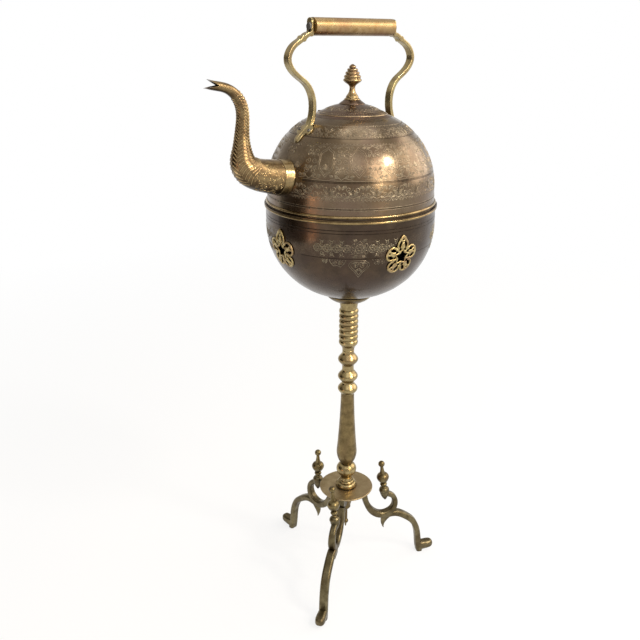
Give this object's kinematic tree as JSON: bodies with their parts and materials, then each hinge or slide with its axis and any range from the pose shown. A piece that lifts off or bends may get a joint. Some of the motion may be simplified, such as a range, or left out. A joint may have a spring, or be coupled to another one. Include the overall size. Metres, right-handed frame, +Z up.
{
  "type": "spirit kettle on stand",
  "caption": "Engraved brass kettle with a serpent spout and hinged lid, on a charcoal bowl with openwork vents, a turned column and scrolled legs.",
  "frame": {"origin": "on the floor under the column's axis", "axes": "+Z up along the column; the spout points to -X and the handle runs along X; the lid's hinge is on the +Y side"},
  "size_m": [0.4246, 0.3233, 0.9993],
  "materials": {
    "stand_brass": "aged, turned and cast, satin",
    "bowl_brass": "aged and engraved, darkened by heat",
    "kettle_brass": "aged and engraved",
    "bright_brass": "polished by handling",
    "steel": "plain turned",
    "iron": "sooty"
  },
  "bodies": {
    "stand": {"hub": "stand_brass", "hub_cap": "stand_brass", "drop_nut": "stand_brass", "leg_1": "stand_brass", "leg_2": "stand_brass", "leg_3": "stand_brass", "leg_finial_1": "stand_brass", "leg_finial_2": "stand_brass", "leg_finial_3": "stand_brass", "base_plate": "stand_brass", "column_foot": "stand_brass", "column_knob": "stand_brass", "column_shaft": "stand_brass", "column_beads": "stand_brass", "column_ribs": "stand_brass", "bowl_saucer": "stand_brass", "tie_rod": "steel", "bowl_nut": "stand_brass", "brazier_bowl": "bowl_brass", "bowl_rim": "bowl_brass", "vent_rosette_1": "bright_brass", "vent_rosette_2": "bright_brass", "vent_rosette_3": "bright_brass", "vent_rosette_4": "bright_brass"},
    "grate": {"fire_grate": "iron"},
    "kettle": {"kettle_shell": "kettle_brass", "kettle_seam_band": "bright_brass", "kettle_pan": "kettle_brass", "lid_seat": "kettle_brass", "spout": "kettle_brass", "spout_collar": "bright_brass", "handle_arm_rear": "bright_brass", "handle_arm_front": "bright_brass", "handle_rivets": "bright_brass", "grip_tube": "kettle_brass", "grip_rod": "bright_brass", "hinge_leaf_kettle": "bright_brass", "hinge_pin": "steel"},
    "lid": {"lid_shell": "kettle_brass", "lid_collar": "kettle_brass", "lid_finial": "kettle_brass", "lid_nut": "kettle_brass", "hinge_leaf_lid": "bright_brass"}
  },
  "joints": [
    {"name": "kettle_lift", "type": "slide", "parent": "stand", "child": "kettle", "axis": [0, 0, 1], "range_m": [0, 0.1]},
    {"name": "grate_lift", "type": "slide", "parent": "stand", "child": "grate", "axis": [0, 0, 1], "range_m": [0, 0.06]},
    {"name": "lid_hinge", "type": "hinge", "parent": "kettle", "child": "lid", "pos_m": [0, 0.0665, 0.86206], "axis": [-1, 0, 0], "range_deg": [0, 110]}
  ]
}
